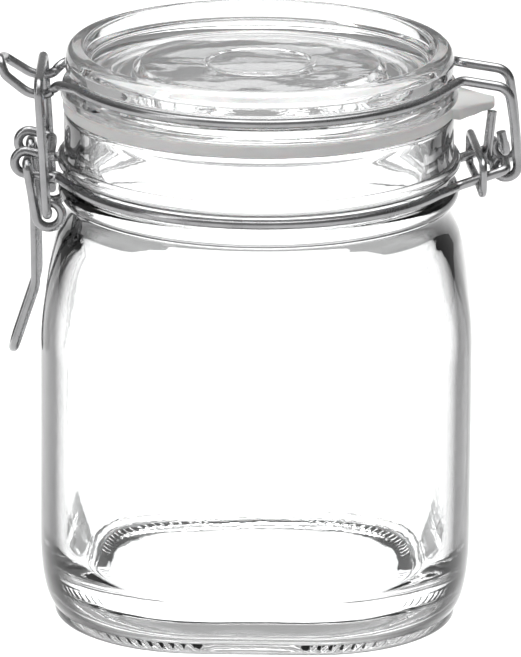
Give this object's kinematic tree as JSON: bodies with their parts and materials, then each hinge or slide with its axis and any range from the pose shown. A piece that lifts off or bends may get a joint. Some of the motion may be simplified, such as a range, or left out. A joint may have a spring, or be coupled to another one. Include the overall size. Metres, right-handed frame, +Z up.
{
  "type": "bail clamp jar",
  "caption": "Square glass storage jar with a round neck, a recessed glass lid on a rubber gasket, and a wire bail with hinge, hook-over link and pull-down lever.",
  "frame": {"origin": "centre of the object's box at the level the base stands on; the jar's own axis passes through it", "axes": "+Z up along the jar's axis, +X towards the lid's hinge, -X towards the latch, -Y the front"},
  "size_m": [0.1301, 0.1068, 0.1422],
  "materials": {
    "clear_glass": "clear polished soda-lime glass",
    "gasket_rubber": "translucent white, satin",
    "steel_wire": "drawn stainless wire, satin to bright"
  },
  "bodies": {
    "jar": {"jar_body": "clear_glass", "collar_wire": "steel_wire", "hinge_clip": "steel_wire"},
    "lid": {"lid_glass": "clear_glass", "gasket": "gasket_rubber", "lid_wire": "steel_wire"},
    "lever": {"latch_lever": "steel_wire"},
    "link": {"latch_link": "steel_wire"}
  },
  "joints": [
    {"name": "lid_hinge", "type": "hinge", "parent": "jar", "child": "lid", "pos_m": [0.061, 0, 0.1146], "axis": [0, 1, 0], "range_deg": [0, 110]},
    {"name": "lever_pivot", "type": "hinge", "parent": "jar", "child": "lever", "pos_m": [-0.057, 0, 0.11435], "axis": [0, 1, 0], "range_deg": [0, 150]},
    {"name": "link_pivot", "type": "hinge", "parent": "lever", "child": "link", "pos_m": [-0.05185, 0, 0.10195], "axis": [0, 1, 0], "range_deg": [-102, 0]}
  ],
  "couplings": [
    {"joint": "link_pivot", "follows": "lever_pivot", "ratio": -0.68}
  ]
}
